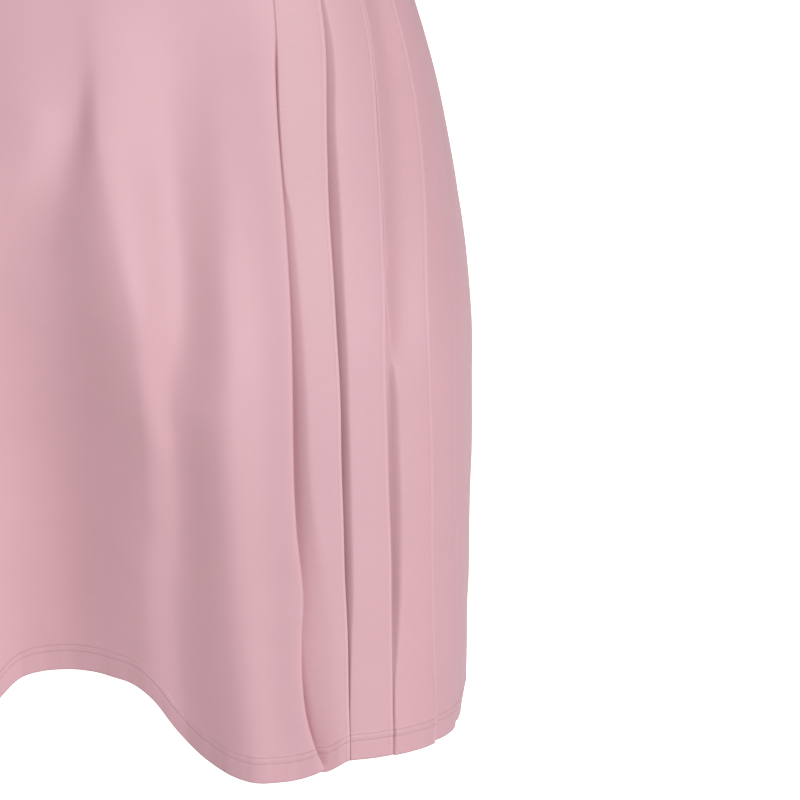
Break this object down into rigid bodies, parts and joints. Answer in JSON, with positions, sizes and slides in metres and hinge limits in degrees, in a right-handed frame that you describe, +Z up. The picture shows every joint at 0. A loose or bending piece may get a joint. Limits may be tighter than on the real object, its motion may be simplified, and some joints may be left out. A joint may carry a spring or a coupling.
{
  "type": "athletic dress",
  "caption": "Sleeveless athletic dress with a smooth front panel, knife-pleated sides and an arched front hem, filled out as worn.",
  "frame": {"origin": "midway between the two shoulder straps, level with the top of the shoulders, where the wearer holds the dress up", "axes": "+Z up along the length of the dress; -Y the way its front faces; +X to the right of someone who looks at the front"},
  "size_m": [0.4002, 0.2757, 0.8527],
  "materials": {
    "smooth_knit": "matt, fine smooth polyester and elastane knit, pale pink",
    "pleat_cloth": "matt, fine pleated cloth with a faint crossways slub, pale pink"
  },
  "bodies": {
    "root": {"front_bodice": "smooth_knit", "back_bodice": "smooth_knit", "front_skirt_panel": "smooth_knit", "back_skirt_panel": "smooth_knit", "wearer_left_pleats": "pleat_cloth", "wearer_right_pleats": "pleat_cloth"}
  },
  "joints": []
}
